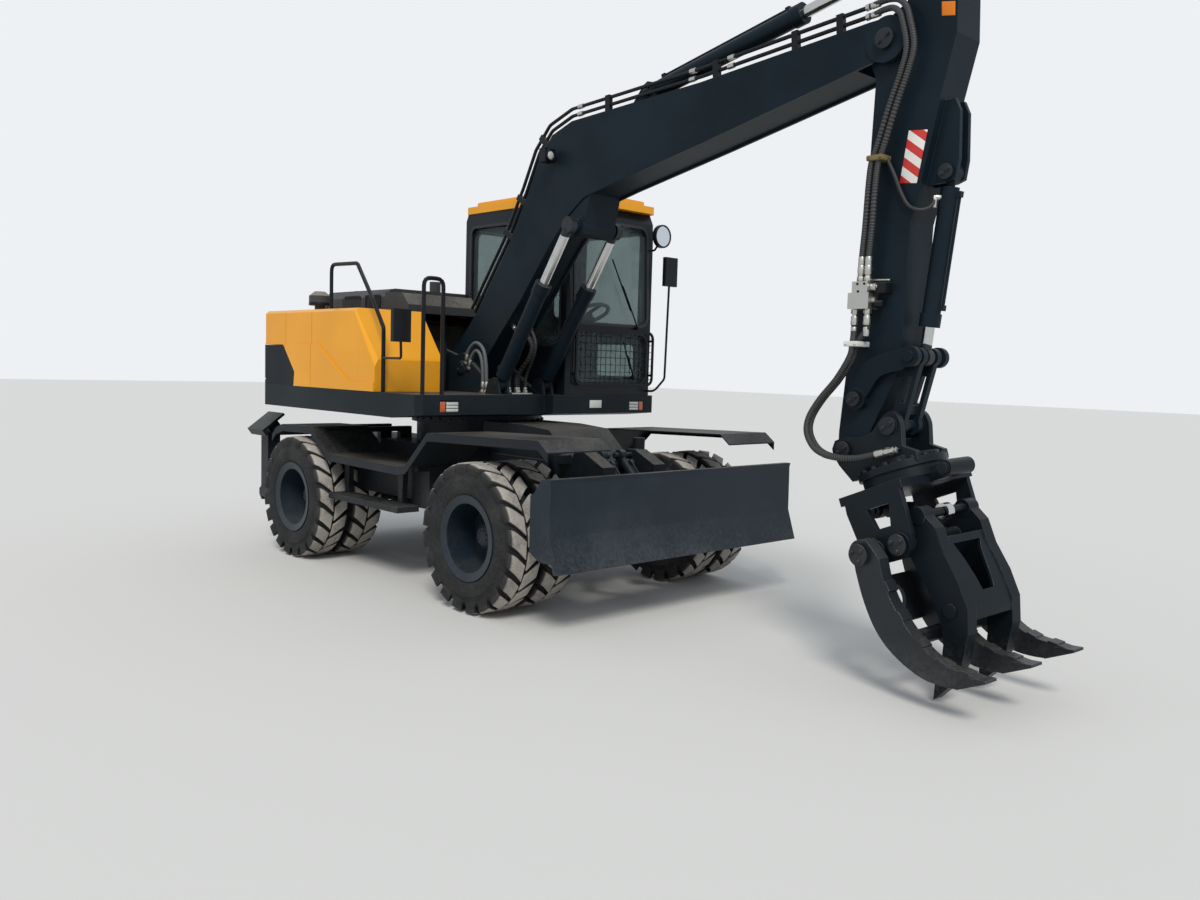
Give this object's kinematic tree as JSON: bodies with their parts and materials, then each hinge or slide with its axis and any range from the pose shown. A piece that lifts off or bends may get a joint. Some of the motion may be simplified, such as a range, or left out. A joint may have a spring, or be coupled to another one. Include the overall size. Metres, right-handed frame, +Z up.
{
  "type": "wheeled excavator",
  "caption": "Wheeled excavator with twin tyres, a blade, folded stabilizers and a rotating log grab on its boom and arm.",
  "frame": {"origin": "on the ground below the middle of the outline, half way along and half way across", "axes": "+X forward, towards the grab; +Y to the machine's left; +Z up"},
  "size_m": [7.1011, 2.69, 4.1748],
  "materials": {
    "bare_cast": "bare cast block",
    "black_steel": "black tube",
    "cast_weight": "painted casting",
    "dark_paint": "satin dark grey paint",
    "engine_block": "plain casting",
    "glass": "clear glass",
    "hose": "black hose",
    "lamp": "lamp lenses",
    "rim_paint": "semi-gloss slate grey paint",
    "rod_chrome": "polished rod",
    "seat_cloth": "dark cloth",
    "slate_paint": "semi-gloss slate grey paint",
    "tyre": "dusty black tyre",
    "yellow_paint": "semi-gloss orange-yellow paint"
  },
  "bodies": {
    "chassis": {"chassis_frame": "slate_paint", "tow_eye": "slate_paint", "wings_and_steps": "slate_paint", "front_axle": "slate_paint", "rear_axle": "slate_paint"},
    "knuckle_left": {"knuckle_left": "slate_paint"},
    "knuckle_right": {"knuckle_right": "slate_paint"},
    "wheels_front_left": {"tyres_front_left": "tyre", "rims_front_left": "rim_paint"},
    "wheels_front_right": {"tyres_front_right": "tyre", "rims_front_right": "rim_paint"},
    "wheels_rear_left": {"tyres_rear_left": "tyre", "rims_rear_left": "rim_paint"},
    "wheels_rear_right": {"tyres_rear_right": "tyre", "rims_rear_right": "rim_paint"},
    "blade_lower_links": {"blade_lower_links": "slate_paint"},
    "blade_upper_links": {"blade_upper_links": "slate_paint"},
    "blade": {"blade": "slate_paint"},
    "blade_barrels": {"blade_barrels": "slate_paint"},
    "blade_rods": {"blade_rods": "rod_chrome"},
    "stabilizer_left": {"stabilizer_left": "slate_paint"},
    "stabilizer_right": {"stabilizer_right": "slate_paint"},
    "stabilizer_barrel_left": {"stabilizer_barrel_left": "slate_paint"},
    "stabilizer_barrel_right": {"stabilizer_barrel_right": "slate_paint"},
    "stabilizer_rod_left": {"stabilizer_rod_left": "rod_chrome"},
    "stabilizer_rod_right": {"stabilizer_rod_right": "rod_chrome"},
    "upper": {"deck": "slate_paint", "counterweight": "cast_weight", "side_body": "yellow_paint", "engine_cover": "slate_paint", "engine": "engine_block", "cab_frame": "dark_paint", "cab_roof": "yellow_paint", "cab_glass": "glass", "seat_and_controls": "seat_cloth", "front_guard": "black_steel", "rails_and_mirrors": "black_steel", "lamps": "lamp"},
    "door": {"cab_door": "dark_paint", "door_glass": "glass"},
    "boom": {"boom": "slate_paint", "boom_pipes": "black_steel"},
    "boom_barrels": {"boom_barrels": "slate_paint"},
    "boom_rods": {"boom_rods": "rod_chrome"},
    "arm": {"arm": "slate_paint", "arm_hoses": "hose", "valve_block": "bare_cast"},
    "arm_barrel": {"arm_barrel": "slate_paint"},
    "arm_rod": {"arm_rod": "rod_chrome"},
    "bucket_barrel": {"bucket_barrel": "slate_paint"},
    "bucket_rod": {"bucket_rod": "rod_chrome"},
    "rocker": {"rocker": "slate_paint"},
    "coupler": {"coupler": "slate_paint"},
    "grab_head": {"grab_head": "slate_paint"},
    "grab_body": {"grab_body": "slate_paint"},
    "tine_jaw": {"tine_jaw": "slate_paint"},
    "finger_jaw": {"finger_jaw": "slate_paint"},
    "grab_barrel": {"grab_barrel": "slate_paint"},
    "grab_rod": {"grab_rod": "rod_chrome"}
  },
  "joints": [
    {"name": "steer_left", "type": "hinge", "parent": "chassis", "child": "knuckle_left", "pos_m": [-0.02, 0.69, 0.527], "axis": [0, 0, 1], "range_deg": [-30, 30]},
    {"name": "steer_right", "type": "hinge", "parent": "chassis", "child": "knuckle_right", "pos_m": [-0.02, -0.69, 0.527], "axis": [0, 0, 1], "range_deg": [-30, 30]},
    {"name": "wheel_front_left", "type": "hinge", "parent": "knuckle_left", "child": "wheels_front_left", "pos_m": [-0.02, 0.947, 0.527], "axis": [0, 1, 0], "continuous": true},
    {"name": "wheel_front_right", "type": "hinge", "parent": "knuckle_right", "child": "wheels_front_right", "pos_m": [-0.02, -0.947, 0.527], "axis": [0, 1, 0], "continuous": true},
    {"name": "wheel_rear_left", "type": "hinge", "parent": "chassis", "child": "wheels_rear_left", "pos_m": [-2.58, 0.947, 0.527], "axis": [0, 1, 0], "continuous": true},
    {"name": "wheel_rear_right", "type": "hinge", "parent": "chassis", "child": "wheels_rear_right", "pos_m": [-2.58, -0.947, 0.527], "axis": [0, 1, 0], "continuous": true},
    {"name": "blade_lift", "type": "hinge", "parent": "chassis", "child": "blade_lower_links", "pos_m": [0.223, 0, 0.395], "axis": [0, -1, 0], "range_deg": [-56, 2]},
    {"name": "blade_upper_pivot", "type": "hinge", "parent": "chassis", "child": "blade_upper_links", "pos_m": [0.223, 0, 0.627], "axis": [0, -1, 0], "range_deg": [-56.5, 2.5]},
    {"name": "blade_level", "type": "hinge", "parent": "blade_lower_links", "child": "blade", "pos_m": [0.75277, 0, 0.67668], "axis": [0, -1, 0], "range_deg": [-2.5, 56.5]},
    {"name": "blade_barrels_pivot", "type": "hinge", "parent": "chassis", "child": "blade_barrels", "pos_m": [0.123, 0, 1.062], "axis": [0, -1, 0], "range_deg": [-15.92, 1.05]},
    {"name": "blade_rods_slide", "type": "slide", "parent": "blade_barrels", "child": "blade_rods", "axis": [0.7079, 0, -0.7063], "range_m": [-0.01415, 0.34227]},
    {"name": "stabilizer_left", "type": "hinge", "parent": "chassis", "child": "stabilizer_left", "pos_m": [-3.352, 1.06, 0.47], "axis": [-1, 0, 0], "range_deg": [0, 127]},
    {"name": "stabilizer_barrel_left_pivot", "type": "hinge", "parent": "chassis", "child": "stabilizer_barrel_left", "pos_m": [-3.352, 0.3, 0.96], "axis": [-1, 0, 0], "range_deg": [-0.5, 8.16]},
    {"name": "stabilizer_rod_left_slide", "type": "slide", "parent": "stabilizer_barrel_left", "child": "stabilizer_rod_left", "axis": [0, 0.9372, -0.3487], "range_m": [-0.002, 0.47979]},
    {"name": "stabilizer_right", "type": "hinge", "parent": "chassis", "child": "stabilizer_right", "pos_m": [-3.352, -1.06, 0.47], "axis": [1, 0, 0], "range_deg": [0, 127]},
    {"name": "stabilizer_barrel_right_pivot", "type": "hinge", "parent": "chassis", "child": "stabilizer_barrel_right", "pos_m": [-3.352, -0.3, 0.96], "axis": [1, 0, 0], "range_deg": [-0.5, 8.16]},
    {"name": "stabilizer_rod_right_slide", "type": "slide", "parent": "stabilizer_barrel_right", "child": "stabilizer_rod_right", "axis": [0, -0.9372, -0.3487], "range_m": [-0.002, 0.47979]},
    {"name": "slew", "type": "hinge", "parent": "chassis", "child": "upper", "pos_m": [-1.577, 0, 1.3], "axis": [0, 0, 1], "continuous": true},
    {"name": "door", "type": "hinge", "parent": "upper", "child": "door", "pos_m": [-1.657, 1.255, 2.265], "axis": [0, 0, 1], "range_deg": [0, 165]},
    {"name": "boom", "type": "hinge", "parent": "upper", "child": "boom", "pos_m": [-1.347, -0.13, 1.69], "axis": [0, -1, 0], "range_deg": [-45, 25]},
    {"name": "boom_barrels_pivot", "type": "hinge", "parent": "upper", "child": "boom_barrels", "pos_m": [-0.807, -0.13, 1.568], "axis": [0, -1, 0], "range_deg": [-56.76, 31.76]},
    {"name": "boom_rods_slide", "type": "slide", "parent": "boom_barrels", "child": "boom_rods", "axis": [0.5541, 0, 0.8325], "range_m": [-0.33202, 0.18534]},
    {"name": "arm", "type": "hinge", "parent": "boom", "child": "arm", "pos_m": [2.493, -0.13, 3.57], "axis": [0, 1, 0], "range_deg": [-82, 30]},
    {"name": "arm_barrel_pivot", "type": "hinge", "parent": "boom", "child": "arm_barrel", "pos_m": [0.573, -0.13, 3.65], "axis": [0, 1, 0], "range_deg": [-4.2, 1.85]},
    {"name": "arm_rod_slide", "type": "slide", "parent": "arm_barrel", "child": "arm_rod", "axis": [0.9798, 0, 0.2], "range_m": [-0.77094, 0.28332]},
    {"name": "head", "type": "hinge", "parent": "arm", "child": "grab_head", "pos_m": [2.353, -0.13, 1.297], "axis": [0, 1, 0], "range_deg": [0, 110]},
    {"name": "rocker_pivot", "type": "hinge", "parent": "arm", "child": "rocker", "pos_m": [2.408, -0.13, 1.593], "axis": [0, 1, 0], "range_deg": [-0.5, 88.36]},
    {"name": "coupler_pivot", "type": "hinge", "parent": "rocker", "child": "coupler", "pos_m": [2.733, -0.13, 1.84], "axis": [0, 1, 0], "range_deg": [-61.3, 0.5]},
    {"name": "bucket_barrel_pivot", "type": "hinge", "parent": "arm", "child": "bucket_barrel", "pos_m": [2.837, -0.13, 2.832], "axis": [0, 1, 0], "range_deg": [-3.47, 0.5]},
    {"name": "bucket_rod_slide", "type": "slide", "parent": "bucket_barrel", "child": "bucket_rod", "axis": [-0.1043, 0, -0.9945], "range_m": [-0.002, 0.56838]},
    {"name": "rotator", "type": "hinge", "parent": "grab_head", "child": "grab_body", "pos_m": [2.628, -0.13, 1.225], "axis": [-0.3746, 0, 0.9272], "continuous": true},
    {"name": "tine_jaw", "type": "hinge", "parent": "grab_body", "child": "tine_jaw", "pos_m": [2.71111, -0.11761, 0.78402], "axis": [0.129, 0.9903, 0.0521], "range_deg": [0, 45]},
    {"name": "finger_jaw", "type": "hinge", "parent": "grab_body", "child": "finger_jaw", "pos_m": [2.87454, -0.14239, 0.85006], "axis": [0.129, 0.9903, 0.0521], "range_deg": [-45.5, 0.5]},
    {"name": "grab_barrel_pivot", "type": "hinge", "parent": "grab_body", "child": "grab_barrel", "pos_m": [2.47338, -0.09521, 0.94682], "axis": [-0.129, -0.9903, -0.0521], "range_deg": [-0.5, 1.05]},
    {"name": "grab_rod_slide", "type": "slide", "parent": "grab_barrel", "child": "grab_rod", "axis": [0.9831, -0.1346, 0.1239], "range_m": [-0.12446, 0.002]}
  ],
  "couplings": [
    {"joint": "steer_right", "follows": "steer_left", "ratio": 1},
    {"joint": "blade_upper_pivot", "follows": "blade_lift", "ratio": 1},
    {"joint": "blade_level", "follows": "blade_lift", "ratio": -1},
    {"joint": "blade_barrels_pivot", "follows": "blade_lift", "ratio": 0.27537},
    {"joint": "blade_rods_slide", "follows": "blade_lift", "m_per_rad": -0.34814},
    {"joint": "stabilizer_barrel_left_pivot", "follows": "stabilizer_left", "ratio": 0.060295},
    {"joint": "stabilizer_rod_left_slide", "follows": "stabilizer_left", "m_per_rad": 0.21555},
    {"joint": "stabilizer_barrel_right_pivot", "follows": "stabilizer_right", "ratio": 0.060295},
    {"joint": "stabilizer_rod_right_slide", "follows": "stabilizer_right", "m_per_rad": 0.21555},
    {"joint": "boom_barrels_pivot", "follows": "boom", "ratio": 1.2503},
    {"joint": "boom_rods_slide", "follows": "boom", "m_per_rad": 0.42019},
    {"joint": "arm_barrel_pivot", "follows": "arm", "ratio": 0.045075},
    {"joint": "arm_rod_slide", "follows": "arm", "m_per_rad": 0.53728},
    {"joint": "rocker_pivot", "follows": "head", "ratio": 0.79871},
    {"joint": "coupler_pivot", "follows": "head", "ratio": -0.55268},
    {"joint": "bucket_barrel_pivot", "follows": "head", "ratio": -0.027},
    {"joint": "bucket_rod_slide", "follows": "head", "m_per_rad": 0.29501},
    {"joint": "finger_jaw", "follows": "tine_jaw", "ratio": -1},
    {"joint": "grab_barrel_pivot", "follows": "tine_jaw", "ratio": 0.012164},
    {"joint": "grab_rod_slide", "follows": "tine_jaw", "m_per_rad": -0.15592}
  ]
}
